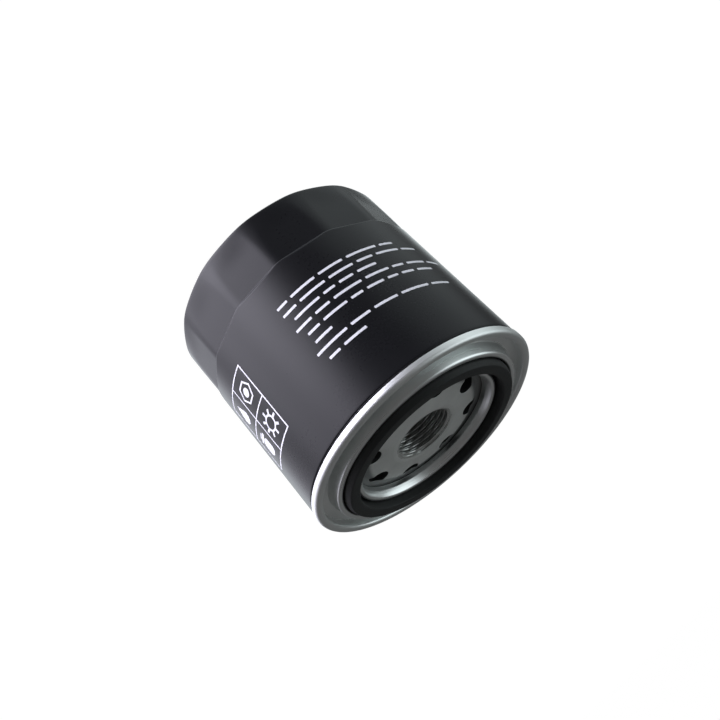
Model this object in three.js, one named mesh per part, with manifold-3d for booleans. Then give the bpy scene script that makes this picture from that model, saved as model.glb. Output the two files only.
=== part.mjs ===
// Spin-on oil filter, built standing on its closed end with the gasket end up.
// Units are millimetres, +Z runs from the closed end to the gasket end.
import * as THREE from 'three';
import Module from 'manifold-3d';
import { mergeVertices, toCreasedNormals } from 'three/addons/utils/BufferGeometryUtils.js';

// ---------------------------------------------------------------- driving dimensions
const GAP = 0.3;
const CAN_R = 40;
const SEAM_Z = 74.5;
const CAN_WALL = 0.8;
const FLAT_COUNT = 14;
const FLAT_HEIGHT = 19.7;
const FLAT_TOP_APOTHEM = 39.05;
const FLAT_LOW_APOTHEM = 39.5;
const FLAT_PHASE_DEG = -93.7;
const SHOULDER_RISE = 1.25;
const EDGE_RADIUS = 1.0;
const PANEL_R = 24;
const PANEL_DEPTH = 1.2;
const NECK_R = 39.3;
const CAN_TOP = SEAM_Z - 2.3;
const LID_T = 0.7;
const THREAD_MAJOR_R = 10;
const THREAD_MINOR_R = 9.19;
const THREAD_PITCH = 1.5;
const HUB_TOP = SEAM_Z - 1.8;
const PLATE_TOP = SEAM_Z - 3.95;
const PLATE_LOW = SEAM_Z - 7.2;
const PLATE_R = 33.2;
const COLLAR_R = 13;
const COLLAR_LOW = SEAM_Z - 13.9;
const INLET_COUNT = 8;
const INLET_PITCH_R = 19.2;
const INLET_R = 3.0;
const INLET_PHASE_DEG = 10;
const GASKET_IN_R = 26.85;
const GASKET_OUT_R = 31.2;
const GASKET_LOW = SEAM_Z - 2.7;
const GASKET_TOP = SEAM_Z + 2.8;
const CAP_R = 36.2;
const CAP_T = 0.8;
const CAP_RIM = 4;
const TOP_CAP_Z = 60.4;
const LOW_CAP_Z = 15.6;
const TUBE_OUT_R = 17.3;
const TUBE_WALL = 0.7;
const TUBE_HOLE_R = 2.2;
const TUBE_HOLE_ROWS = 5;
const PLEAT_COUNT = 40;
const PLEAT_OUT_R = 34.6;
const PLEAT_IN_R = 18;
const PAPER_T = 0.5;
const POTTING_T = 1;
const SPRING_WIRE_R = 1.1;
const SPRING_R = 17.3;
const SPRING_TURNS = 3.5;
const SPRING_LOW = 2.3;
const SPRING_HIGH = 14.2;
const BYPASS_PORT_R = 7.5;
const BYPASS_WIRE_R = 0.6;
const BYPASS_SPRING_R = 6.6;
const BYPASS_TURNS = 5.5;
const BYPASS_DISC_Z = 19.5;
const CAGE_R = 12.5;
const CAGE_TOP = 31.8;

const ROUND = 28;
const FINE = 44;
const CAN_SIDES = 3 * FLAT_COUNT;

// ---------------------------------------------------------------- materials
function finish(color, roughness, metalness) {
  return new THREE.MeshStandardMaterial({ color, roughness, metalness });
}
const blackPaint = finish(0x232326, 0.42, 0.0);
const zincPlate = finish(0xb9bdbb, 0.3, 1.0);
const plainSteel = finish(0x6e706f, 0.5, 0.9);
const blackRubber = finish(0x1a1b1b, 0.7, 0.0);
const valveRubber = finish(0x202122, 0.75, 0.0);
const filterPaper = finish(0xc8a35a, 0.95, 0.0);
const resin = finish(0x3f4a58, 0.6, 0.0);
const tinPlate = finish(0x9fa2a3, 0.38, 1.0);
const springSteel = finish(0x56585b, 0.35, 1.0);
const compound = finish(0x7b7f7a, 0.8, 0.0);

// ---------------------------------------------------------------- solid helpers
const wasm = await Module();
wasm.setup();

function solid(geometry) {
  const bare = geometry.index ? geometry.toNonIndexed() : geometry.clone();
  bare.deleteAttribute('normal');
  bare.deleteAttribute('uv');
  const merged = mergeVertices(bare, 1e-4);
  const points = merged.attributes.position.array;
  const source = merged.index.array;
  const kept = [];
  let volume = 0;
  for (let i = 0; i < source.length; i += 3) {
    const [a, b, c] = [source[i], source[i + 1], source[i + 2]];
    if (a === b || b === c || a === c) continue;
    kept.push(a, b, c);
    const pa = new THREE.Vector3().fromArray(points, a * 3);
    const pb = new THREE.Vector3().fromArray(points, b * 3);
    const pc = new THREE.Vector3().fromArray(points, c * 3);
    volume += pa.dot(pb.cross(pc));
  }
  if (volume < 0) kept.reverse();
  return new wasm.Manifold(new wasm.Mesh({
    numProp: 3,
    vertProperties: new Float32Array(points),
    triVerts: new Uint32Array(kept),
  }));
}

// Fillets every inner corner of a polyline whose entries are [r, z, radius].
function rounded(corners, steps = 1) {
  const path = [];
  corners.forEach(([r, z, radius], i) => {
    const here = new THREE.Vector2(r, z);
    if (!radius || i === 0 || i === corners.length - 1) {
      path.push(here);
      return;
    }
    const before = new THREE.Vector2(corners[i - 1][0], corners[i - 1][1]).sub(here);
    const after = new THREE.Vector2(corners[i + 1][0], corners[i + 1][1]).sub(here);
    const half = Math.acos(before.dot(after) / before.length() / after.length()) / 2;
    const reach = radius / Math.tan(half);
    const start = here.clone().addScaledVector(before.normalize(), reach);
    const stop = here.clone().addScaledVector(after.normalize(), reach);
    const middle = before.add(after).normalize().multiplyScalar(radius / Math.sin(half)).add(here);
    const first = start.clone().sub(middle).angle();
    let turn = stop.clone().sub(middle).angle() - first;
    if (turn > Math.PI) turn -= 2 * Math.PI;
    if (turn < -Math.PI) turn += 2 * Math.PI;
    for (let k = 0; k <= steps; k += 1) {
      const angle = first + (turn * k) / steps;
      path.push(new THREE.Vector2(Math.cos(angle), Math.sin(angle)).multiplyScalar(radius).add(middle));
    }
  });
  return path;
}

// Offsets a polyline sideways with mitred corners.
function offset(path, distance, closed = false) {
  const count = path.length;
  return path.map((point, i) => {
    const before = closed ? path[(i + count - 1) % count] : path[Math.max(i - 1, 0)];
    const after = closed ? path[(i + 1) % count] : path[Math.min(i + 1, count - 1)];
    const inward = point.clone().sub(before);
    const outward = after.clone().sub(point);
    if (inward.length() < 1e-9) inward.copy(outward);
    if (outward.length() < 1e-9) outward.copy(inward);
    inward.normalize();
    outward.normalize();
    const normal = new THREE.Vector2(-inward.y - outward.y, inward.x + outward.x).normalize();
    const stretch = normal.x * -inward.y + normal.y * inward.x;
    return point.clone().addScaledVector(normal, distance / Math.max(stretch, 0.4));
  });
}

// Revolves a closed loop of [r, z] points about the Z axis.
function revolve(loop, segments = ROUND) {
  const points = loop.map((p) => (Array.isArray(p) ? new THREE.Vector2(p[0], p[1]) : p.clone()));
  if (points[0].x > 1e-6 || points[points.length - 1].x > 1e-6) points.push(points[0].clone());
  return solid(new THREE.LatheGeometry(points, segments).rotateX(Math.PI / 2));
}

function sheetRing(corners, thickness, segments = ROUND) {
  const path = rounded(corners);
  const left = offset(path, thickness / 2);
  const right = offset(path, -thickness / 2).reverse();
  return revolve([...left, ...right], segments);
}

function ring(inner, outer, low, high, segments = ROUND) {
  return revolve([[inner, low], [outer, low], [outer, high], [inner, high]], segments);
}

function disc(radius, low, high, segments = 24) {
  return revolve([[0, low], [radius, low], [radius, high], [0, high]], segments);
}

function prism(points, low, high, holes = []) {
  const shape = new THREE.Shape(points);
  holes.forEach((hole) => shape.holes.push(new THREE.Path(hole)));
  const depth = high - low;
  return solid(new THREE.ExtrudeGeometry(shape, { depth, bevelEnabled: false }).translate(0, 0, low));
}

class Helix extends THREE.Curve {
  constructor(radius, low, high, turns) {
    super();
    Object.assign(this, { radius, low, high, turns });
  }

  getPoint(t, target = new THREE.Vector3()) {
    const angle = 2 * Math.PI * this.turns * t;
    const height = THREE.MathUtils.lerp(this.low, this.high, t);
    return target.set(this.radius * Math.cos(angle), this.radius * Math.sin(angle), height);
  }
}

function coil(radius, wire, low, high, turns, stepsPerTurn = 22, sides = 7) {
  const section = [];
  for (let k = 0; k < sides; k += 1) {
    const angle = (2 * Math.PI * k) / sides;
    section.push(new THREE.Vector2(wire * Math.cos(angle), wire * Math.sin(angle)));
  }
  const extrudePath = new Helix(radius, low + wire, high - wire, turns);
  const steps = Math.round(turns * stepsPerTurn);
  return solid(new THREE.ExtrudeGeometry(new THREE.Shape(section), { steps, extrudePath }));
}

function polar(radius, angle) {
  return new THREE.Vector2(radius * Math.cos(angle), radius * Math.sin(angle));
}

// ---------------------------------------------------------------- assembly
const group = new THREE.Group();
group.name = 'oil_filter';

function add(name, body, material) {
  const mesh = body.getMesh();
  const geometry = new THREE.BufferGeometry();
  geometry.setAttribute('position', new THREE.BufferAttribute(new Float32Array(mesh.vertProperties), 3));
  geometry.setIndex(new THREE.BufferAttribute(new Uint32Array(mesh.triVerts), 1));
  const node = new THREE.Mesh(toCreasedNormals(geometry, 0.6), material);
  node.name = name;
  group.add(node);
}

// ---- can: drawn shell with wrench flats at the closed end and a necked open edge
function makeCan() {
  const edge = rounded([[0, 0], [CAN_R, 0, EDGE_RADIUS], [CAN_R, 30]], 3).slice(1, -1);
  const inset = CAN_WALL;
  const shell = revolve([
    [0, PANEL_DEPTH],
    [PANEL_R, PANEL_DEPTH],
    [PANEL_R + 2.4, 0],
    ...edge,
    [CAN_R, SEAM_Z - 3.7],
    [CAN_R - 0.2, SEAM_Z - 3.2],
    [NECK_R, SEAM_Z - 2.8],
    [NECK_R, CAN_TOP],
    [NECK_R - 0.7, CAN_TOP],
    [NECK_R - 0.7, SEAM_Z - 3.4],
    [CAN_R - inset, SEAM_Z - 4.2],
    [CAN_R - inset, FLAT_HEIGHT + 2],
    [CAN_R - inset - 1.1, FLAT_HEIGHT + 0.9],
    [CAN_R - inset - 1.1, 2],
    [CAN_R - inset - 2, 0.9],
    [PANEL_R + 2.7, 0.9],
    [PANEL_R, PANEL_DEPTH + inset],
    [0, PANEL_DEPTH + inset],
  ], CAN_SIDES);
  const corner = 1 / Math.cos(Math.PI / FLAT_COUNT);
  const flats = solid(new THREE.CylinderGeometry(
    FLAT_TOP_APOTHEM * corner,
    (FLAT_LOW_APOTHEM + (FLAT_LOW_APOTHEM - FLAT_TOP_APOTHEM) / FLAT_HEIGHT) * corner,
    FLAT_HEIGHT + 1,
    FLAT_COUNT,
  ).rotateX(Math.PI / 2).translate(0, 0, (FLAT_HEIGHT - 1) / 2));
  const shoulder = solid(new THREE.CylinderGeometry(
    (CAN_R + GAP) * corner,
    FLAT_TOP_APOTHEM * corner,
    SHOULDER_RISE,
    FLAT_COUNT,
  ).rotateX(Math.PI / 2).translate(0, 0, FLAT_HEIGHT + SHOULDER_RISE / 2));
  const around = disc(CAN_R + 6, -0.5, FLAT_HEIGHT + SHOULDER_RISE - 0.01, 24);
  const cut = around.subtract(flats).subtract(shoulder);
  return shell.subtract(cut).rotate([0, 0, 90 + FLAT_PHASE_DEG]);
}
add('can', makeCan(), blackPaint);

// ---- seaming lid: hem over the can edge, drain groove, gasket channel, inner lip
const lidCorners = [
  [40.05, -2.45],
  [40.05, -0.35, 0.8],
  [38.0, -0.35, 0.8],
  [37.9, -3.65, 0.5],
  [33.95, -3.65, 0.6],
  [33.1, 0.65, 0.5],
  [31.85, 0.65, 0.45],
  [31.85, -3.35],
  [25.85, -3.35],
  [25.85, 0.03],
  [25.0, 0.03],
  [24.3, -1.3],
  [24.05, -3.45],
].map(([r, z, fillet]) => [r, SEAM_Z + z, fillet]);
add('seaming_lid', sheetRing(lidCorners, LID_T, FINE), zincPlate);

// ---- seam sealant: bead of compound trapped in the rolled hem
add('seam_sealant', ring(NECK_R - 0.6, NECK_R - 0.1, CAN_TOP + GAP, SEAM_Z - 2 * LID_T), compound);

// ---- base plate: domed disc, threaded collar and eight inlet holes
function makeBasePlate() {
  const thread = [];
  const last = COLLAR_LOW + 1;
  for (let z = HUB_TOP - 1.5; z - THREAD_PITCH > last; z -= THREAD_PITCH) {
    thread.push([THREAD_MINOR_R, z], [THREAD_MAJOR_R, z - THREAD_PITCH / 2]);
  }
  const bore = [
    [THREAD_MAJOR_R + 0.3, HUB_TOP],
    [THREAD_MINOR_R + 0.2, HUB_TOP - 0.6],
    [THREAD_MINOR_R, HUB_TOP - 1.2],
    ...thread,
    [THREAD_MINOR_R, COLLAR_LOW + 1],
    [THREAD_MAJOR_R, COLLAR_LOW],
  ];
  const plate = revolve([
    ...bore,
    [COLLAR_R - 0.5, COLLAR_LOW],
    [COLLAR_R, COLLAR_LOW + 0.5],
    [COLLAR_R, PLATE_LOW + 0.4],
    [COLLAR_R + 0.8, PLATE_LOW + 1.2],
    [INLET_PITCH_R + 1.5, PLATE_LOW + 0.9],
    [INLET_PITCH_R + 4, PLATE_LOW],
    [PLATE_R - 0.4, PLATE_LOW],
    [PLATE_R, PLATE_LOW + 0.4],
    [PLATE_R, PLATE_TOP - 0.4],
    [PLATE_R - 0.4, PLATE_TOP],
    [21.6, PLATE_TOP],
    [20.8, HUB_TOP - 1.6],
    [19.7, HUB_TOP - 0.85],
    [17.6, HUB_TOP - 0.6],
    [14.5, HUB_TOP - 0.35],
    [12.4, HUB_TOP - 0.06],
    [11.6, HUB_TOP],
  ], ROUND);
  let cut = plate;
  for (let k = 0; k < INLET_COUNT; k += 1) {
    const at = polar(INLET_PITCH_R, THREE.MathUtils.degToRad(INLET_PHASE_DEG) + (2 * Math.PI * k) / INLET_COUNT);
    cut = cut.subtract(disc(INLET_R, PLATE_LOW - 1, SEAM_Z, 12).translate([at.x, at.y, 0]));
  }
  return cut;
}
add('base_plate', makeBasePlate(), plainSteel);

// ---- mounting gasket: square-cut rubber ring standing proud of the seam
add('mounting_gasket', revolve([
  [GASKET_IN_R, GASKET_LOW + 0.4],
  [GASKET_IN_R + 0.4, GASKET_LOW],
  [GASKET_OUT_R - 0.4, GASKET_LOW],
  [GASKET_OUT_R, GASKET_LOW + 0.4],
  [GASKET_OUT_R, GASKET_TOP - 2],
  [GASKET_OUT_R - 0.45, GASKET_TOP - 0.45],
  [GASKET_OUT_R - 0.95, GASKET_TOP],
  [GASKET_IN_R + 0.5, GASKET_TOP],
  [GASKET_IN_R, GASKET_TOP - 0.5],
], FINE), blackRubber);

// ---- anti-drain-back valve: rubber hub round the collar, sprung lip under the inlets
add('drainback_valve_hub', revolve([
  [13.3, 59.2],
  [15.3, 59.2],
  [15.3, 65.4],
  [14.9, 65.8],
  [13.3, 65.8],
]), valveRubber);
add('drainback_valve_lip', revolve([
  [15.6, 63.6],
  [16.6, 63.0],
  [22.4, 64.9],
  [25.6, 65.4],
  [26.4, 66.2],
  [25.4, 67.0],
  [24.2, 66.7],
  [22.0, 66.1],
  [16.6, 64.3],
  [15.6, 65.1],
]), valveRubber);

// ---- filter element: end caps, resin, pleated paper, seam clip and centre tube
function endCap(innerR, innerRim, outward) {
  const face = outward > 0 ? TOP_CAP_Z - CAP_T / 2 : LOW_CAP_Z + CAP_T / 2;
  const corners = [
    [CAP_R - CAP_T / 2, face - outward * (CAP_RIM - CAP_T / 2)],
    [CAP_R - CAP_T / 2, face, 0.8],
    [innerR + CAP_T / 2, face, 0.6],
    [innerR + CAP_T / 2, face - outward * (innerRim - CAP_T / 2)],
  ];
  return sheetRing(innerRim ? corners : corners.slice(0, 3), CAP_T);
}
add('top_end_cap', endCap(15.6, 3.4, 1), tinPlate);
add('bottom_end_cap', endCap(BYPASS_PORT_R, 0, -1), tinPlate);

const tubeTop = TOP_CAP_Z - CAP_T - GAP;
const tubeLow = LOW_CAP_Z + CAP_T + GAP;
add('upper_potting', ring(TUBE_OUT_R + GAP, CAP_R - CAP_T - GAP, tubeTop - POTTING_T, tubeTop), resin);
add('lower_potting', ring(TUBE_OUT_R + GAP, CAP_R - CAP_T - GAP, tubeLow, tubeLow + POTTING_T), resin);

const paperTop = tubeTop - POTTING_T - GAP;
const paperLow = tubeLow + POTTING_T + GAP;
function makePaper() {
  const path = [];
  const pitch = (2 * Math.PI) / PLEAT_COUNT;
  for (let k = 0; k < PLEAT_COUNT; k += 1) {
    path.push(polar(PLEAT_OUT_R, k * pitch - 0.02), polar(PLEAT_OUT_R, k * pitch + 0.02));
    path.push(polar(PLEAT_IN_R, (k + 0.5) * pitch - 0.024), polar(PLEAT_IN_R, (k + 0.5) * pitch + 0.024));
  }
  const inner = offset(path, PAPER_T / 2, true);
  const outer = offset(path, -PAPER_T / 2, true);
  return prism(outer, paperLow, paperTop, [inner]);
}
add('pleated_media', makePaper(), filterPaper);

const clipWide = 1.75;
const clipSlot = 1.3;
const clipBack = PLEAT_OUT_R + PAPER_T / 2 + GAP;
add('media_seam_clip', prism([
  new THREE.Vector2(clipBack - 3.4, -clipWide),
  new THREE.Vector2(clipBack + 0.45, -clipWide),
  new THREE.Vector2(clipBack + 0.45, clipWide),
  new THREE.Vector2(clipBack - 3.4, clipWide),
  new THREE.Vector2(clipBack - 3.4, clipSlot),
  new THREE.Vector2(clipBack, clipSlot),
  new THREE.Vector2(clipBack, -clipSlot),
  new THREE.Vector2(clipBack - 3.4, -clipSlot),
], LOW_CAP_Z + CAP_RIM + 1, TOP_CAP_Z - CAP_RIM - 1), tinPlate);

function makeTube() {
  let tube = ring(TUBE_OUT_R - TUBE_WALL, TUBE_OUT_R, tubeLow, tubeTop);
  const rise = (tubeTop - tubeLow - 10) / (TUBE_HOLE_ROWS - 1);
  for (let row = 0; row < TUBE_HOLE_ROWS; row += 1) {
    for (let k = 0; k < 4; k += 1) {
      const drill = disc(TUBE_HOLE_R, -TUBE_OUT_R - 1, TUBE_OUT_R + 1, 6);
      const turn = 45 * k + (row % 2) * 22.5;
      tube = tube.subtract(drill.rotate([90, 0, turn]).translate([0, 0, tubeLow + 5 + row * rise]));
    }
  }
  return tube;
}
add('centre_tube', makeTube(), tinPlate);

// ---- bypass valve in the lower cap: seat, cage, spring, poppet disc and its seal
add('bypass_seat', revolve([
  [BYPASS_PORT_R, tubeLow],
  [11.5, tubeLow],
  [11.5, tubeLow + 0.8],
  [10, tubeLow + 0.9],
  [9, tubeLow + 1.3],
  [BYPASS_PORT_R, tubeLow + 1.3],
]), tinPlate);

function makeCage() {
  const hat = sheetRing([
    [16.1, tubeLow + 0.35],
    [CAGE_R - 0.35, tubeLow + 0.35, 0.5],
    [CAGE_R - 0.35, CAGE_TOP - 0.35, 1],
    [3, CAGE_TOP - 0.35],
  ], LID_T);
  const window = prism([
    new THREE.Vector2(2, -4),
    new THREE.Vector2(CAGE_R + 2, -4),
    new THREE.Vector2(CAGE_R + 2, 4),
    new THREE.Vector2(2, 4),
  ], tubeLow + 3, CAGE_TOP - 2.6);
  return [0, 120, 240].reduce((body, turn) => body.subtract(window.rotate([0, 0, turn])), hat);
}
add('bypass_cage', makeCage(), tinPlate);

add('bypass_seal', ring(BYPASS_PORT_R + 0.3, 10.5, BYPASS_DISC_Z - GAP - 0.9, BYPASS_DISC_Z - GAP), blackRubber);
add('bypass_disc', revolve([
  [0, BYPASS_DISC_Z - 0.9],
  [4, BYPASS_DISC_Z - 0.9],
  [5.6, BYPASS_DISC_Z],
  [10.5, BYPASS_DISC_Z],
  [10.5, BYPASS_DISC_Z + 0.8],
  [5.3, BYPASS_DISC_Z + 0.8],
  [3.7, BYPASS_DISC_Z - 0.1],
  [0, BYPASS_DISC_Z - 0.1],
]), tinPlate);
const bypassTop = CAGE_TOP - LID_T - GAP;
const bypassLow = BYPASS_DISC_Z + 0.8 + GAP;
add('bypass_spring', coil(BYPASS_SPRING_R, BYPASS_WIRE_R, bypassLow, bypassTop, BYPASS_TURNS, 12, 5), springSteel);

// ---- element spring and its seat between the lower cap and the closed end
add('spring_seat', sheetRing([
  [8.6, LOW_CAP_Z - GAP - 0.4],
  [SPRING_R + 2.8, LOW_CAP_Z - GAP - 0.4, 0.8],
  [SPRING_R + 2.8, LOW_CAP_Z - 3.4],
], 0.8), tinPlate);
add('element_spring', coil(SPRING_R, SPRING_WIRE_R, SPRING_LOW, SPRING_HIGH, SPRING_TURNS, 18, 6), springSteel);

export default group;
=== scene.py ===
"""Spin-on oil filter: fine surfaces, materials, print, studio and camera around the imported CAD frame."""

import math
import random

import bmesh
import bpy
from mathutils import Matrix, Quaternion, Vector


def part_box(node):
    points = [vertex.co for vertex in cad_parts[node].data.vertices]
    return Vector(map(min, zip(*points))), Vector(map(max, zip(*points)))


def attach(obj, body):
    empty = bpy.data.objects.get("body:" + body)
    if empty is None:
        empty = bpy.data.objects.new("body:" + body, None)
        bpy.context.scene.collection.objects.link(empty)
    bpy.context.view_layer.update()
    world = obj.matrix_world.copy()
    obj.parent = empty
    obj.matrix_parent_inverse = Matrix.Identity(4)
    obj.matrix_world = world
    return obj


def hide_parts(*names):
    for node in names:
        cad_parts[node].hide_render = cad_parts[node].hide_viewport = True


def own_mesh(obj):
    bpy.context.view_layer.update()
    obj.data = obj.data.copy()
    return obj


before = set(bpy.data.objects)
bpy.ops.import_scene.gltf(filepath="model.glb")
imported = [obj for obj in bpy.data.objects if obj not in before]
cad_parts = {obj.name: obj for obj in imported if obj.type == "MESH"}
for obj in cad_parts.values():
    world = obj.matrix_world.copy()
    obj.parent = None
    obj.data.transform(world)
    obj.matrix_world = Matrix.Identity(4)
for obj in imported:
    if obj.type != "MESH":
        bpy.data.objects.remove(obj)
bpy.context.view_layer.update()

MM = 0.001
TAU = 2 * math.pi

# ---------------------------------------------------------------- sizes in millimetres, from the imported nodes
LID_RIDGE = 1.0
SEAM_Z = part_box("seaming_lid")[1].z / MM - LID_RIDGE
SEAM_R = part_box("seaming_lid")[1].x / MM
GASKET_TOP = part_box("mounting_gasket")[1].z / MM
GASKET_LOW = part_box("mounting_gasket")[0].z / MM
GASKET_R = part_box("mounting_gasket")[1].x / MM
CAN_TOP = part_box("can")[1].z / MM
HUB_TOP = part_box("base_plate")[1].z / MM
COLLAR_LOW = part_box("base_plate")[0].z / MM
PLATE_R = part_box("base_plate")[1].x / MM

CAN_R = 40.0
CAN_WALL = 0.8
NECK_R = 39.3
FLAT_COUNT = 14
FLAT_HEIGHT = 19.7
FLAT_TOP_APOTHEM = 39.05
FLAT_LOW_APOTHEM = 39.5
FLAT_PHASE = math.radians(-93.7)
FLAT_CORNER_R = 9.0
FOOT_R = 39.95
FOOT_FADE = 9.0
FOOT_ROUND = 0.65
SHOULDER_SLOPE = 0.8
EDGE_RADIUS = 1.0
PANEL_R = 24.0
PANEL_DEPTH = 1.2
LID_T = 0.7
THREAD_MAJOR_R = 10.0
THREAD_MINOR_R = 9.19
THREAD_PITCH = 1.5
MOUTH_R = 10.3
MOUTH_ROUND = 1.6
COLLAR_R = 13.0
# slot of the near-black material painted as shade on the inlet hole walls
HOLE_SHADE_SLOT = 2
PLATE_TOP = SEAM_Z - 3.95
PLATE_LOW = SEAM_Z - 7.2
INLET_COUNT = 8
INLET_PITCH_R = 19.2
INLET_R = 3.0
INLET_PHASE = math.radians(10)


# ---------------------------------------------------------------- mesh helpers
def smoothstep(edge0, edge1, value):
    t = min(max((value - edge0) / (edge1 - edge0), 0.0), 1.0)
    return t * t * (3 - 2 * t)


def lerp(a, b, t):
    return a + (b - a) * t


def rounded(corners, steps=6):
    """Fillets the inner corners of a polyline of (r, z) or (r, z, radius)."""
    path = []
    for i, corner in enumerate(corners):
        here = Vector(corner[:2])
        radius = corner[2] if len(corner) > 2 else 0
        if not radius or i in (0, len(corners) - 1):
            path.append(here)
            continue
        before = (Vector(corners[i - 1][:2]) - here).normalized()
        after = (Vector(corners[i + 1][:2]) - here).normalized()
        half = before.angle(after) / 2
        start = here + before * radius / math.tan(half)
        stop = here + after * radius / math.tan(half)
        middle = here + (before + after).normalized() * radius / math.sin(half)
        first = math.atan2(start.y - middle.y, start.x - middle.x)
        turn = math.atan2(stop.y - middle.y, stop.x - middle.x) - first
        turn = (turn + math.pi) % TAU - math.pi
        for k in range(steps + 1):
            angle = first + turn * k / steps
            path.append(middle + Vector((math.cos(angle), math.sin(angle))) * radius)
    return path


def offset(path, distance):
    moved = []
    for i, point in enumerate(path):
        before = (point - path[max(i - 1, 0)])
        after = (path[min(i + 1, len(path) - 1)] - point)
        before = (before if before.length > 1e-9 else after).normalized()
        after = (after if after.length > 1e-9 else before).normalized()
        normal = Vector((-before.y - after.y, before.x + after.x)).normalized()
        stretch = max(normal.dot(Vector((-before.y, before.x))), 0.4)
        moved.append(point + normal * distance / stretch)
    return moved


def sheet_loop(corners, thickness, steps=6):
    """A closed (r, z) loop round a bent sheet with softly rounded cut ends."""
    path = rounded(corners, steps)
    left = offset(path, thickness / 2)
    right = offset(path, -thickness / 2)
    nose = (path[-1] - path[-2]).normalized() * thickness * 0.18
    tail = (path[0] - path[1]).normalized() * thickness * 0.18
    return left[:-1] + [left[-1], path[-1] + nose] + right[::-1] + [path[0] + tail]


def finish_mesh(name, bm, body, material, replaced=(), sharp=35.0):
    """Welds, orients, shades and files a bmesh built in millimetres."""
    bmesh.ops.remove_doubles(bm, verts=bm.verts, dist=1e-4)
    bmesh.ops.dissolve_degenerate(bm, edges=bm.edges, dist=1e-5)
    bmesh.ops.recalc_face_normals(bm, faces=bm.faces)
    bmesh.ops.scale(bm, vec=(MM, MM, MM), verts=bm.verts)
    limit = math.radians(sharp)
    for face in bm.faces:
        face.smooth = True
    for edge in bm.edges:
        edge.smooth = len(edge.link_faces) == 2 and edge.calc_face_angle(0) < limit
    mesh = bpy.data.meshes.new(name)
    bm.to_mesh(mesh)
    bm.free()
    piece = bpy.data.objects.new(name, mesh)
    bpy.context.scene.collection.objects.link(piece)
    for each in material if isinstance(material, (list, tuple)) else [material]:
        mesh.materials.append(each)
    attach(piece, body)
    if replaced:
        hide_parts(*replaced)
    return piece


def revolve(rows, steps, radius=None, material_of=None):
    """A closed surface of revolution; radius(row, angle) may vary a row round the axis."""
    bm = bmesh.new()
    rings = []
    for index, (r, z) in enumerate(rows):
        ring = []
        for k in range(steps):
            angle = TAU * k / steps
            at = radius(index, angle) if radius else r
            ring.append(bm.verts.new((at * math.cos(angle), at * math.sin(angle), z)))
        rings.append(ring)
    for index in range(len(rings)):
        low, high = rings[index], rings[(index + 1) % len(rings)]
        for k in range(steps):
            n = (k + 1) % steps
            face = bm.faces.new((low[k], low[n], high[n], high[k]))
            if material_of:
                face.material_index = material_of(index)
    return bm


def lathe(name, loop, body, material, replaced=(), steps=192, sharp=35.0):
    rows = [(max(p[0], 0.0), p[1]) for p in loop]
    return finish_mesh(name, revolve(rows, steps), body, material, replaced, sharp)


# ---------------------------------------------------------------- material helpers
class Shader:
    """A principled material with short calls for the nodes used here."""

    def __init__(self, name, **sockets):
        self.material = bpy.data.materials.new(name)
        self.material.use_nodes = True
        self.tree = self.material.node_tree
        self.main = self.tree.nodes["Principled BSDF"]
        self.coords = self.node("ShaderNodeTexCoord").outputs["Object"]
        for socket, value in sockets.items():
            self.main.inputs[socket.replace("_", " ")].default_value = value

    def node(self, kind, **settings):
        made = self.tree.nodes.new(kind)
        for key, value in settings.items():
            setattr(made, key, value)
        return made

    def join(self, source, target):
        self.tree.links.new(source, target)

    def set(self, socket, source):
        self.join(source, self.main.inputs[socket])

    def noise(self, scale, detail=3.0, coords=None, roughness=0.5):
        made = self.node("ShaderNodeTexNoise")
        made.inputs["Scale"].default_value = scale
        made.inputs["Detail"].default_value = detail
        made.inputs["Roughness"].default_value = roughness
        self.join(coords or self.coords, made.inputs["Vector"])
        return made.outputs["Fac"]

    def math(self, operation, a, b=0.0, clamp=False):
        made = self.node("ShaderNodeMath", operation=operation, use_clamp=clamp)
        for index, value in enumerate((a, b)):
            if isinstance(value, (int, float)):
                made.inputs[index].default_value = value
            else:
                self.join(value, made.inputs[index])
        return made.outputs[0]

    def remap(self, source, low, high, start=0.0, stop=1.0, smooth=False):
        made = self.node("ShaderNodeMapRange")
        made.interpolation_type = "SMOOTHSTEP" if smooth else "LINEAR"
        self.join(source, made.inputs["Value"])
        for key, value in (("From Min", start), ("From Max", stop), ("To Min", low), ("To Max", high)):
            made.inputs[key].default_value = value
        return made.outputs["Result"]

    def mix(self, factor, first, second):
        made = self.node("ShaderNodeMix", data_type="RGBA")
        self.join(factor, made.inputs["Factor"])
        for key, value in (("A", first), ("B", second)):
            socket = next(s for s in made.inputs if s.name == key and s.type == "RGBA")
            if isinstance(value, tuple):
                socket.default_value = (*value, 1.0)
            else:
                self.join(value, socket)
        return next(s for s in made.outputs if s.type == "RGBA")

    def bump(self, height, distance, strength=1.0, below=None):
        made = self.node("ShaderNodeBump")
        made.inputs["Distance"].default_value = distance
        made.inputs["Strength"].default_value = strength
        self.join(height, made.inputs["Height"])
        if below:
            self.join(below, made.inputs["Normal"])
        return made.outputs["Normal"]

    def split(self):
        made = self.node("ShaderNodeSeparateXYZ")
        self.join(self.coords, made.inputs[0])
        return made.outputs

    def radius(self):
        """Distance from the object's axis."""
        x, y, _ = self.split()
        return self.math("SQRT", self.math("ADD", self.math("MULTIPLY", x, x), self.math("MULTIPLY", y, y)))

    def ring_coords(self, radial, axial, around=0.0):
        """Coordinates that stay the same round the axis, for marks that a lathe or roller leaves."""
        x, y, z = self.split()
        r = self.radius()
        angle = self.math("ARCTAN2", y, x)
        joined = self.node("ShaderNodeCombineXYZ")
        self.join(self.math("MULTIPLY", r, radial), joined.inputs[0])
        self.join(self.math("MULTIPLY", z, axial), joined.inputs[1])
        self.join(self.math("MULTIPLY", angle, around), joined.inputs[2])
        return joined.outputs[0]


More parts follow.
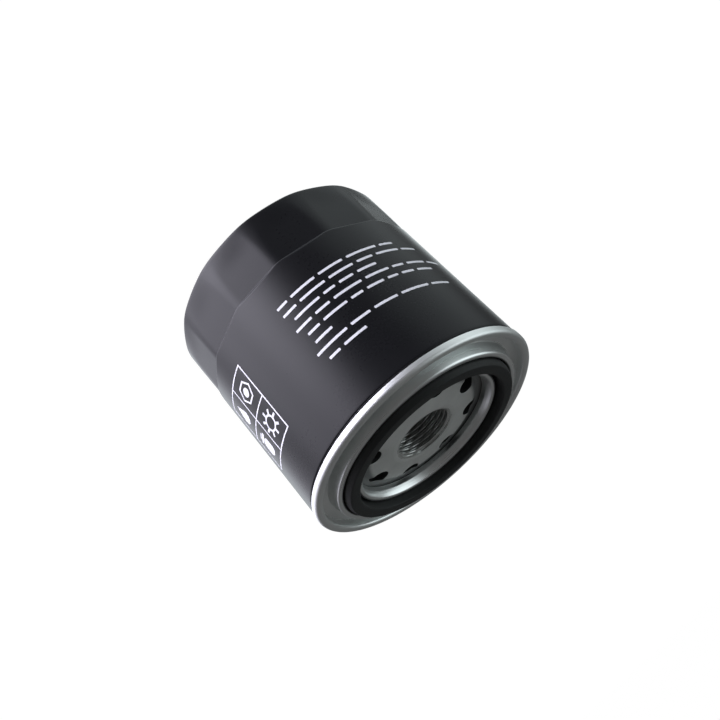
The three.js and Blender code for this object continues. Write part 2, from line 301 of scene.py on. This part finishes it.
def can_paint():
    s = Shader("can_enamel", Roughness=0.3, Specular_IOR_Level=0.16)
    cloud = s.noise(22, 4)
    speck = s.noise(900, 2)
    blend = s.remap(cloud, 0, 1, 0.35, 0.65)
    s.set("Base Color", s.mix(blend, (0.008, 0.0082, 0.0096), (0.0105, 0.0107, 0.0122)))
    s.set("Roughness", s.math("ADD", s.remap(cloud, 0.26, 0.32, 0.3, 0.7), s.remap(speck, -0.015, 0.015)))
    peel = s.bump(s.noise(520, 2), 0.00002, 0.35)
    s.set("Normal", s.bump(s.noise(2600, 2), 0.000006, 0.3, peel))
    return s.material


def zinc_plate():
    s = Shader("zinc_plate", Metallic=1.0)
    rings = s.noise(1.0, 4, s.ring_coords(2600, 2600, 0.6))
    drift = s.noise(60, 4)
    s.set("Base Color", s.mix(s.remap(drift, 0, 1, 0.35, 0.65), (0.74, 0.76, 0.755), (0.82, 0.83, 0.825)))
    hem = s.remap(s.radius(), 0, 0.14, 0.0374, 0.0384, smooth=True)
    worn = s.math("ADD", s.remap(rings, 0.26, 0.36, 0.3, 0.7), s.remap(drift, -0.02, 0.03))
    s.set("Roughness", s.math("ADD", worn, hem))
    grain = s.bump(rings, 0.000012, 0.5)
    s.set("Normal", s.bump(s.noise(700, 3), 0.00001, 0.35, grain))
    return s.material


def plate_steel():
    s = Shader("phosphated_steel", Metallic=0.45, Specular_IOR_Level=0.4)
    grain = s.noise(2200, 4)
    drift = s.noise(120, 4)
    rings = s.noise(1.0, 3, s.ring_coords(1800, 900, 0.4))
    steel = s.mix(s.remap(drift, 0, 1, 0.3, 0.7), (0.62, 0.63, 0.62), (0.72, 0.73, 0.715))
    # painted shade: the plate's colour turns dark grey between 18.6 and 20.6 mm radius, in the recess round the
    # dome
    painted_recess_shade = s.remap(s.radius(), 0, 1, 0.0186, 0.0206, smooth=True)
    s.set("Base Color", s.mix(painted_recess_shade, steel, (0.27, 0.28, 0.28)))
    s.set("Roughness", s.math("ADD", s.remap(grain, 0.5, 0.62, 0.3, 0.7), s.remap(rings, -0.04, 0.04)))
    s.set("Normal", s.bump(grain, 0.000015, 0.5, s.bump(rings, 0.00001, 0.4)))
    return s.material


def cut_steel():
    s = Shader("cut_thread_steel", Metallic=1.0)
    rings = s.noise(1.0, 3, s.ring_coords(4000, 4000, 1.5))
    s.set("Base Color", s.mix(rings, (0.56, 0.57, 0.56), (0.66, 0.67, 0.66)))
    s.set("Roughness", s.remap(rings, 0.24, 0.34, 0.3, 0.7))
    s.set("Normal", s.bump(rings, 0.000004, 0.3))
    return s.material


def gasket_rubber(name, dark, light):
    s = Shader(name, Specular_IOR_Level=0.2)
    grain = s.noise(1800, 3)
    bloom = s.noise(70, 4)
    s.set("Base Color", s.mix(s.remap(bloom, 0, 1, 0.3, 0.7), dark, light))
    s.set("Roughness", s.math("ADD", s.remap(grain, 0.46, 0.58, 0.3, 0.7), s.remap(bloom, -0.03, 0.05)))
    s.set("Normal", s.bump(grain, 0.00001, 0.5, s.bump(s.noise(300, 3), 0.00002, 0.3)))
    return s.material


def print_ink():
    s = Shader("print_ink", Specular_IOR_Level=0.4)
    wear = s.noise(1500, 4)
    s.set("Base Color", s.mix(s.remap(wear, 0, 1, 0.35, 0.6), (0.70, 0.70, 0.76), (0.80, 0.80, 0.84)))
    s.set("Roughness", s.remap(wear, 0.45, 0.6))
    s.set("Normal", s.bump(wear, 0.000006, 0.4))
    return s.material


def inner_metal(name, tint, rough, metal=1.0, scale=900):
    s = Shader(name, Metallic=metal)
    grain = s.noise(scale, 4)
    dark = tuple(c * 0.8 for c in tint)
    s.set("Base Color", s.mix(grain, dark, tint))
    s.set("Roughness", s.remap(grain, rough - 0.06, rough + 0.08, 0.3, 0.7))
    s.set("Normal", s.bump(grain, 0.000015, 0.4))
    return s.material


PAINT = can_paint()
ZINC = zinc_plate()
STEEL = plate_steel()
CUT = cut_steel()
RUBBER = gasket_rubber("nitrile_rubber", (0.024, 0.026, 0.026), (0.034, 0.036, 0.036))
VALVE = gasket_rubber("valve_rubber", (0.004, 0.004, 0.004), (0.007, 0.007, 0.007))
INK = print_ink()
TIN = inner_metal("tin_plate", (0.46, 0.47, 0.48), 0.34)
WIRE = inner_metal("spring_wire", (0.15, 0.15, 0.16), 0.36, scale=2600)
PAPER = inner_metal("filter_paper", (0.55, 0.36, 0.12), 0.85, metal=0.0, scale=2600)
RESIN = inner_metal("cured_resin", (0.055, 0.075, 0.105), 0.5, metal=0.0, scale=500)
# near-black steel for the inlet hole walls: painted shade inside the holes
HOLE_SHADE = inner_metal("hole_wall_painted_shade", (0.035, 0.036, 0.036), 0.5, metal=0.6, scale=1600)
COMPOUND = inner_metal("seam_compound", (0.2, 0.21, 0.2), 0.7, metal=0.0, scale=1200)


# ---------------------------------------------------------------- can
def flat_radius(angle, apothem):
    """Distance from the axis to a polygon of wrench flats whose corners are rounded."""
    step = TAU / FLAT_COUNT
    local = abs((angle - FLAT_PHASE) % step - step / 2)
    bend = FLAT_CORNER_R
    middle = (apothem - bend) / math.cos(step / 2)
    off = step / 2 - local
    if apothem * math.tan(local) < (apothem - bend) * math.tan(step / 2):
        return apothem / math.cos(local)
    return middle * math.cos(off) + math.sqrt(bend * bend - (middle * math.sin(off)) ** 2)


def can_radius(angle, z):
    """The can's outer radius: flats that fade at the closed end and slope out to the body over a shoulder."""
    low = lerp(FLAT_LOW_APOTHEM, FLAT_TOP_APOTHEM, min(z, FLAT_HEIGHT) / FLAT_HEIGHT)
    flat = flat_radius(angle, low)
    flat = lerp(flat, FOOT_R, FOOT_ROUND * (1 - smoothstep(0, FOOT_FADE, z)))
    sloped = flat + max(z - FLAT_HEIGHT, 0.0) * SHOULDER_SLOPE
    return soft_min(CAN_R, sloped, 0.1)


def soft_min(a, b, k):
    h = min(max(0.5 + (b - a) / (2 * k), 0.0), 1.0)
    return lerp(b, a, h) - k * h * (1 - h)


def build_can():
    shoulder = [FLAT_HEIGHT - 0.25 + 0.1 * k for k in range(22)]
    heights = [1.6, 2.6, 4, 6, 8, 10, 12, 14, 16, 17.5, 18.6, 19.1, *shoulder]
    heights += [22, 26, 32, 38, 44, 50, 56, 62, 67, SEAM_Z - 4.6]
    edge = rounded([(30, 0), (CAN_R, 0, EDGE_RADIUS), (CAN_R, 10)], 8)[1:-1]
    rows = [(0, PANEL_DEPTH)]
    rows += [(r, PANEL_DEPTH) for r in (8, 16, 21)]
    rows += rounded([(22, PANEL_DEPTH), (PANEL_R, PANEL_DEPTH, 0.9), (PANEL_R + 2.4, 0, 0.9), (30, 0)], 4)
    rows += [(34, 0), *edge]
    first_flat = len(rows) - len(edge)
    rows += [(CAN_R, z) for z in heights]
    last_flat = len(rows)
    neck = [(CAN_R, SEAM_Z - 4.2), (CAN_R, SEAM_Z - 3.4, 0.5), (NECK_R, SEAM_Z - 2.7, 0.5), (NECK_R, CAN_TOP)]
    rows += rounded(neck, 4)
    inner = CAN_R - CAN_WALL
    rows += [(NECK_R - 0.7, CAN_TOP), (NECK_R - 0.7, SEAM_Z - 3.4)]
    rows += [(inner, SEAM_Z - 4.2), (inner, FLAT_HEIGHT + 2)]
    rows += [(inner - 1.1, FLAT_HEIGHT + 0.9), (inner - 1.1, 2), (inner - 2, 0.9), (PANEL_R + 2.7, 0.9)]
    rows += [(PANEL_R, PANEL_DEPTH + CAN_WALL), (0, PANEL_DEPTH + CAN_WALL)]
    rows = [tuple(row) for row in rows]

    def radius(index, angle):
        r, z = rows[index]
        if not first_flat <= index < last_flat:
            return r
        edge_drop = CAN_R - r
        return can_radius(angle, z) - edge_drop

    bm = revolve(rows, FLAT_COUNT * 20, radius)
    return finish_mesh("can_shell", bm, "casing", PAINT, ["can"], sharp=30)


can_shell = build_can()

# ---------------------------------------------------------------- seaming lid
LID_PATH = [
    (SEAM_R - LID_T / 2, SEAM_Z - 2.40),
    (SEAM_R - LID_T / 2, SEAM_Z - 0.35, 0.85),
    (38.0, SEAM_Z - 0.35, 0.8),
    (37.9, SEAM_Z - 3.65, 0.55),
    (33.95, SEAM_Z - 3.65, 0.7),
    (33.1, SEAM_Z + 0.65, 0.6),
    (31.85, SEAM_Z + 0.65, 0.55),
    (31.85, SEAM_Z - 3.35, 0.5),
    (25.85, SEAM_Z - 3.35, 0.5),
    (25.85, SEAM_Z + 0.05, 0.48),
    (24.9, SEAM_Z + 0.05, 0.5),
    (24.42, SEAM_Z - 1.05, 1.2),
    (24.1, SEAM_Z - 1.95, 0.8),
    (24.05, SEAM_Z - 3.45),
]
LID_LOOP = sheet_loop(LID_PATH, LID_T)
lathe("lid_ring", LID_LOOP, "casing", ZINC, ["seaming_lid"], steps=256, sharp=50)

# ---------------------------------------------------------------- mounting gasket
GASKET_LOOP = rounded([
    (29, GASKET_LOW),
    (GASKET_R, GASKET_LOW, 0.4),
    (GASKET_R, GASKET_TOP - 1.7, 1.2),
    (GASKET_R - 0.75, GASKET_TOP, 0.45),
    (26.95, GASKET_TOP, 0.55),
    (26.85, GASKET_LOW, 0.4),
    (28, GASKET_LOW),
], 6)
lathe("gasket_ring", GASKET_LOOP, "casing", RUBBER, ["mounting_gasket"], steps=256)


# ---------------------------------------------------------------- base plate with its helical thread
def thread_radius(angle, z):
    """A 60 degree groove that climbs one pitch a turn, opened by the chamfers at both mouths."""
    phase = ((HUB_TOP - z) / THREAD_PITCH + angle / TAU) % 1.0
    ramp = abs(phase - 0.5) * 2
    depth = smoothstep(0.0, 1.0, min(max((ramp - 0.12) / 0.72, 0.0), 1.0))
    threaded = THREAD_MAJOR_R - (THREAD_MAJOR_R - THREAD_MINOR_R) * depth
    entry = min((HUB_TOP - z) / MOUTH_ROUND, 1.0)
    opening = 1 - math.sqrt(max(1 - (1 - entry) ** 2, 0))
    narrow = THREAD_MINOR_R - 0.2
    mouth = narrow + (MOUTH_R - narrow) * opening
    lower_mouth = THREAD_MAJOR_R - (z - COLLAR_LOW)
    return max(threaded, mouth, lower_mouth)


def build_base_plate():
    bore_rows = 110
    crown = rounded([
        (MOUTH_R, HUB_TOP),
        (11.8, HUB_TOP, 1.0),
        (17.6, HUB_TOP - 0.6, 6.0),
        (19.9, HUB_TOP - 0.9, 0.9),
        (21.6, PLATE_TOP, 0.5),
        (PLATE_R, PLATE_TOP, 0.4),
        (PLATE_R, PLATE_LOW, 0.4),
        (INLET_PITCH_R + 4, PLATE_LOW, 0.4),
        (INLET_PITCH_R + 1.5, PLATE_LOW + 0.9, 0.4),
        (COLLAR_R + 0.8, PLATE_LOW + 1.2, 0.4),
        (COLLAR_R, PLATE_LOW + 0.4, 0.4),
        (COLLAR_R, COLLAR_LOW, 0.5),
        (THREAD_MAJOR_R, COLLAR_LOW),
    ], 5)
    span = HUB_TOP - COLLAR_LOW
    bore = [(THREAD_MAJOR_R, COLLAR_LOW + span * k / bore_rows) for k in range(1, bore_rows)]
    rows = [tuple(p) for p in crown] + bore
    first = len(crown)

    def radius(index, angle):
        r, z = rows[index]
        return thread_radius(angle, z) if index >= first else r

    steps = 160
    bm = revolve(rows, steps, radius, lambda index: 1 if index >= first - 1 else 0)
    materials = [STEEL, CUT, HOLE_SHADE]
    plate = finish_mesh("threaded_plate", bm, "casing", materials, ["base_plate"], sharp=40)
    cutters = []
    for k in range(INLET_COUNT):
        angle = INLET_PHASE + TAU * k / INLET_COUNT
        drill = bmesh.new()
        size = {"radius1": INLET_R * MM, "radius2": INLET_R * MM, "depth": 20 * MM}
        bmesh.ops.create_cone(drill, cap_ends=True, segments=48, **size)
        at = (INLET_PITCH_R * math.cos(angle) * MM, INLET_PITCH_R * math.sin(angle) * MM, PLATE_LOW * MM)
        bmesh.ops.translate(drill, vec=at, verts=drill.verts)
        mesh = bpy.data.meshes.new("drill")
        drill.to_mesh(mesh)
        drill.free()
        cutter = bpy.data.objects.new("drill", mesh)
        bpy.context.scene.collection.objects.link(cutter)
        cut = plate.modifiers.new("cut", "BOOLEAN")
        cut.operation, cut.object, cut.solver = "DIFFERENCE", cutter, "EXACT"
        cutters.append(cutter)
    bake_modifiers(plate)
    for cutter in cutters:
        bpy.data.objects.remove(cutter)
    soften_holes(plate)
    return plate


def bake_modifiers(piece):
    """Turns the modifiers' result into the piece's own mesh."""
    graph = bpy.context.evaluated_depsgraph_get()
    made = bpy.data.meshes.new_from_object(piece.evaluated_get(graph))
    piece.modifiers.clear()
    piece.data = made


def hole_distance(point):
    """From a point to the nearest inlet's centre line."""
    angles = [INLET_PHASE + TAU * k / INLET_COUNT for k in range(INLET_COUNT)]
    centres = [(INLET_PITCH_R * math.cos(a), INLET_PITCH_R * math.sin(a)) for a in angles]
    return min(math.hypot(point.x - x, point.y - y) for x, y in centres)


def in_hole(point, normal):
    return hole_distance(point) < INLET_R + 0.02 and abs(normal.z) < 0.3


def soften_holes(plate):
    """Rounds the mouths of the inlet holes, gives their walls a near-black material as painted shade and
    smooths the plate's shading again.
    """
    bm = bmesh.new()
    bm.from_mesh(plate.data)
    rims = []
    for edge in bm.edges:
        if len(edge.link_faces) != 2 or edge.calc_face_angle(0) < math.radians(55):
            continue
        middle = (edge.verts[0].co + edge.verts[1].co) / 2 / MM
        if abs(hole_distance(middle) - INLET_R) < 0.1:
            rims.append(edge)
    bmesh.ops.bevel(bm, geom=rims, offset=0.15 * MM, segments=3, affect="EDGES", profile=0.5)
    limit = math.radians(40)
    for face in bm.faces:
        face.smooth = True
        # the inlet hole walls take the near-black material as painted shade
        if in_hole(face.calc_center_median() / MM, face.normal):
            face.material_index = HOLE_SHADE_SLOT
    for edge in bm.edges:
        edge.smooth = len(edge.link_faces) == 2 and edge.calc_face_angle(0) < limit
    bm.to_mesh(plate.data)
    bm.free()


build_base_plate()

# ---------------------------------------------------------------- print on the can
PRINT_R = CAN_R - 0.01
INK_T = 0.03


class Ink:
    """Flat shapes in millimetres, wrapped round the can; x runs round it, y to the closed end."""

    def __init__(self, angle, z):
        self.angle, self.z = angle, z
        self.bm = bmesh.new()

    def fill(self, points):
        self.bm.faces.new([self.bm.verts.new((x, y, 0)) for x, y in points])

    def bar(self, x, y, width, height):
        self.fill([(x, y), (x + width, y), (x + width, y + height), (x, y + height)])

    def pill(self, x, y, width, height):
        """A bar with softly rounded corners."""
        r = height * 0.28
        left, right, low, high = x + r, x + width - r, y + r, y + height - r
        corners = [(right, high, 0), (left, high, 90), (left, low, 180), (right, low, 270)]
        points = []
        for cx, cy, first in corners:
            for turn in (0, 30, 60, 90):
                angle = math.radians(first + turn)
                points.append((cx + r * math.cos(angle), cy + r * math.sin(angle)))
        self.fill(points)

    def stroke(self, points, width, closed=False):
        ends = points + points[:1] if closed else points
        for (ax, ay), (bx, by) in zip(ends, ends[1:]):
            along = Vector((bx - ax, by - ay)).normalized() * width / 2
            side = Vector((-along.y, along.x))
            a, b = Vector((ax, ay)) - along * 0.6, Vector((bx, by)) + along * 0.6
            self.fill([tuple(a - side), tuple(b - side), tuple(b + side), tuple(a + side)])

    def wrap(self, name):
        bm = self.bm
        low = min(v.co.x for v in bm.verts)
        high = max(v.co.x for v in bm.verts)
        for k in range(math.ceil(low), math.floor(high) + 1):
            geom = bm.verts[:] + bm.edges[:] + bm.faces[:]
            bmesh.ops.bisect_plane(bm, geom=geom, plane_co=(k, 0, 0), plane_no=(1, 0, 0))
        grown = bmesh.ops.extrude_face_region(bm, geom=bm.faces[:], use_keep_orig=True)
        for item in grown["geom"]:
            if isinstance(item, bmesh.types.BMVert):
                item.co.z += INK_T
        for v in bm.verts:
            angle = self.angle - v.co.x / CAN_R
            r = PRINT_R + v.co.z
            v.co = Vector((r * math.cos(angle), r * math.sin(angle), self.z - v.co.y))
        return finish_mesh(name, bm, "casing", INK, sharp=30)


# distance of each printed line from the closed end, its indent and its length
PRINT_LINES = [
    (31.8, 0.0, 45.0),
    (34.9, 0.0, 53.0),
    (38.1, 2.0, 31.0),
    (41.4, 0.0, 55.0),
    (44.7, 2.0, 48.0),
    (48.1, 2.0, 10.5),
    (51.4, 0.0, 49.0),
    (54.8, 2.0, 15.5),
]
PRINT_START = math.radians(-80.3)
BAR_HEIGHT = 0.85
BAR_GAP = 1.5


def build_print():
    """Eight lines of plain bars in place of the printed instructions."""
    ink = Ink(PRINT_START, 0)
    draw = random.Random(14)
    for z, indent, length in PRINT_LINES:
        x = indent
        while length - x > 2.5:
            width = min(draw.uniform(3.0, 11.0), length - x)
            ink.pill(x, -z - BAR_HEIGHT / 2, width, BAR_HEIGHT)
            x += width + BAR_GAP
    return ink.wrap("print_lines")


build_print()


def circle(x, y, radius, count=20, first=0.0, last=TAU):
    step = (last - first) / count
    angles = [first + step * k for k in range(count + 1)]
    return [(x + radius * math.cos(a), y + radius * math.sin(a)) for a in angles]


def build_symbols():
    """A two by two panel of plain symbols: a drop, a nut, a canister and a gear."""
    right, left = math.radians(-20.0), math.radians(-49.3)
    top, low = 30.0, 56.0
    width = (right - left) * CAN_R
    height = low - top
    ink = Ink(right, top)
    line = 0.45
    ink.stroke([(0, 0), (width, 0), (width, -height), (0, -height)], line, closed=True)
    ink.stroke([(width / 2, 0), (width / 2, -height)], line)
    ink.stroke([(0, -height / 2), (width, -height / 2)], line)
    cx, cy = width / 4, height / 4
    drop = circle(cx, -cy - 1.2, 2.3, 18, math.radians(150), math.radians(390))
    ink.fill([(cx, -cy + 3.9), *drop])
    ink.stroke(circle(3 * cx, -cy, 3.4, 6)[:-1], 0.6, closed=True)
    ink.fill(circle(3 * cx, -cy, 1.5, 18)[:-1])
    ink.pill(cx - 2.1, -3 * cy - 3.6, 4.2, 5.6)
    ink.bar(cx - 2.5, -3 * cy + 2.3, 5.0, 0.9)
    ink.bar(cx - 1.4, -3 * cy + 3.5, 2.8, 0.5)
    ink.stroke(circle(3 * cx, -3 * cy, 2.3, 24)[:-1], 0.6, closed=True)
    for k in range(8):
        a = TAU * k / 8
        near, far = 2.8, 3.9
        start = (3 * cx + near * math.cos(a), -3 * cy + near * math.sin(a))
        stop = (3 * cx + far * math.cos(a), -3 * cy + far * math.sin(a))
        ink.stroke([start, stop], 0.8)
    return ink.wrap("print_symbols")


build_symbols()

# ---------------------------------------------------------------- springs of smooth round wire
def coil(name, body, radius, wire, low, high, turns, steps=40, sides=12):
    """A helix of round wire whose first and last half turns lie nearly flat."""
    bm = bmesh.new()
    count = round(turns * steps)
    rings = []
    for i in range(count + 1):
        along = i / count
        angle = TAU * turns * along
        rise = lerp(smoothstep(0, 1, along), along, 0.6)
        z = lerp(low + wire, high - wire, rise)
        ring = []
        for k in range(sides):
            around = TAU * k / sides
            r = radius + wire * math.cos(around)
            ring.append(bm.verts.new((r * math.cos(angle), r * math.sin(angle), z + wire * math.sin(around))))
        rings.append(ring)
    for a, b in zip(rings, rings[1:]):
        for k in range(sides):
            n = (k + 1) % sides
            bm.faces.new((a[k], a[n], b[n], b[k]))
    bm.faces.new(rings[0])
    bm.faces.new(rings[-1])
    return finish_mesh(name, bm, body, WIRE, [name.replace("_coil", "_spring")], sharp=60)


ELEMENT_SPRING = (17.3, 1.1, 2.3, 14.2, 3.5)
BYPASS_SPRING = (6.6, 0.6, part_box("bypass_spring")[0].z / MM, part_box("bypass_spring")[1].z / MM, 5.5)


def build_springs():
    """Builds the element coil and the bypass coil, each with its own mesh."""
    element = coil("element_coil", "casing", *ELEMENT_SPRING)
    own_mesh(element)
    bypass = coil("bypass_coil", "element", *BYPASS_SPRING)
    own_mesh(bypass)


build_springs()

# ---------------------------------------------------------------- finishes of the inner CAD nodes
INNER = {
    "seam_sealant": COMPOUND,
    "drainback_valve_hub": VALVE,
    "drainback_valve_lip": VALVE,
    "top_end_cap": TIN,
    "bottom_end_cap": TIN,
    "upper_potting": RESIN,
    "lower_potting": RESIN,
    "pleated_media": PAPER,
    "media_seam_clip": TIN,
    "centre_tube": TIN,
    "bypass_seat": TIN,
    "bypass_cage": TIN,
    "bypass_seal": VALVE,
    "bypass_disc": TIN,
    "spring_seat": TIN,
}
for node, material in INNER.items():
    for slot_index in range(len(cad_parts[node].material_slots)):
        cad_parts[node].material_slots[slot_index].material = material

# ---------------------------------------------------------------- studio
FLOOR_SIZE = 6.0


def show_to_camera_only(obj):
    """A paper ground that is seen, but neither lights nor shades the object."""
    obj.visible_diffuse = False
    obj.visible_glossy = False
    obj.visible_transmission = False
    obj.visible_shadow = False


def white_paper(name, grey):
    """A ground that glows evenly white, over a dull grey base."""
    matte = {"Roughness": 1.0, "Specular_IOR_Level": 0.0}
    glow = {"Emission_Color": (1, 1, 1, 1), "Emission_Strength": 1.0}
    return Shader(name, Base_Color=(grey, grey, grey, 1), **matte, **glow).material


def build_floor():
    bm = bmesh.new()
    bmesh.ops.create_grid(bm, x_segments=2, y_segments=2, size=FLOOR_SIZE / 2)
    mesh = bpy.data.meshes.new("floor")
    bm.to_mesh(mesh)
    bm.free()
    floor = bpy.data.objects.new("floor", mesh)
    bpy.context.scene.collection.objects.link(floor)
    mesh.materials.append(white_paper("pale_floor", 0.1))
    show_to_camera_only(floor)
    return floor


def build_backdrop():
    bm = bmesh.new()
    bmesh.ops.create_uvsphere(bm, u_segments=48, v_segments=24, radius=FLOOR_SIZE)
    mesh = bpy.data.meshes.new("backdrop")
    bm.to_mesh(mesh)
    bm.free()
    backdrop = bpy.data.objects.new("backdrop", mesh)
    bpy.context.scene.collection.objects.link(backdrop)
    mesh.materials.append(white_paper("pale_backdrop", 0.0))
    show_to_camera_only(backdrop)
    return backdrop


def direction(azimuth, elevation):
    a, e = math.radians(azimuth), math.radians(elevation)
    return Vector((math.cos(a) * math.cos(e), math.sin(a) * math.cos(e), math.sin(e)))


COOL = (0.98, 0.96, 1.10)
NEUTRAL = (0.90, 1.0, 1.02)

# azimuth from +X, elevation and half angle in degrees, strength, tint
SOFTBOXES = [
    (-55, -48, 26, 6.0, COOL),
    (-40, -48, 44, 5.5, COOL),
    (20, -27, 48, 1.25, COOL),
    (90, 30, 45, 0.03, NEUTRAL),
    (-178, -40, 42, 1.0, NEUTRAL),
    (-178, 20, 42, 1.3, NEUTRAL),
    (-150, -76, 26, 0.7, NEUTRAL),
    (100, -38, 26, 1.9, NEUTRAL),
    (62, -30, 26, 0.95, NEUTRAL),
]
AMBIENT = 0.1


def build_world():
    """Soft studio light as a sum of round softboxes, bright in the middle and fading to nothing."""
    world = bpy.data.worlds.new("studio")
    bpy.context.scene.world = world
    world.use_nodes = True
    tree = world.node_tree
    tree.nodes.clear()
    coords = tree.nodes.new("ShaderNodeTexCoord").outputs["Generated"]
    total = None
    for azimuth, elevation, half_angle, strength, tint in SOFTBOXES:
        dot = tree.nodes.new("ShaderNodeVectorMath")
        dot.operation = "DOT_PRODUCT"
        tree.links.new(coords, dot.inputs[0])
        dot.inputs[1].default_value = direction(azimuth, elevation)
        edge = tree.nodes.new("ShaderNodeMapRange")
        edge.interpolation_type = "SMOOTHSTEP"
        tree.links.new(dot.outputs["Value"], edge.inputs["Value"])
        edge.inputs["From Min"].default_value = math.cos(math.radians(half_angle))
        edge.inputs["From Max"].default_value = 1.0
        scaled = tree.nodes.new("ShaderNodeVectorMath")
        scaled.operation = "SCALE"
        scaled.inputs[0].default_value = [c * strength for c in tint]
        tree.links.new(edge.outputs["Result"], scaled.inputs["Scale"])
        added = tree.nodes.new("ShaderNodeVectorMath")
        added.operation = "ADD"
        tree.links.new(scaled.outputs[0], added.inputs[0])
        if total is None:
            added.inputs[1].default_value = (AMBIENT, AMBIENT, AMBIENT)
        else:
            tree.links.new(total, added.inputs[1])
        total = added.outputs[0]
    light = tree.nodes.new("ShaderNodeBackground")
    tree.links.new(total, light.inputs["Color"])
    out = tree.nodes.new("ShaderNodeOutputWorld")
    tree.links.new(light.outputs[0], out.inputs["Surface"])


build_floor()
build_backdrop()
build_world()
bpy.context.scene.view_settings.view_transform = "Standard"
bpy.context.scene.view_settings.look = "None"

# ---------------------------------------------------------------- camera
VIEW_ELEVATION = 28.71
VIEW_ROLL = 137.1
VIEW_DISTANCE = 0.2699
VIEW_AIM = Vector((-0.00084, 0.0, 0.03953))
VIEW_LENS = 42.82


def build_camera():
    camera = bpy.data.objects.new("camera", bpy.data.cameras.new("camera"))
    bpy.context.scene.collection.objects.link(camera)
    bpy.context.scene.camera = camera
    camera.data.lens = VIEW_LENS
    camera.data.sensor_width = 36.0
    camera.data.clip_start = 0.01
    camera.data.clip_end = 50.0
    back = direction(-90, VIEW_ELEVATION)
    camera.location = VIEW_AIM + back * VIEW_DISTANCE
    level = (-back).to_track_quat("-Z", "Y")
    roll = Quaternion((0, 0, 1), math.radians(VIEW_ROLL))
    camera.rotation_mode = "QUATERNION"
    camera.rotation_quaternion = level @ roll
    return camera


build_camera()
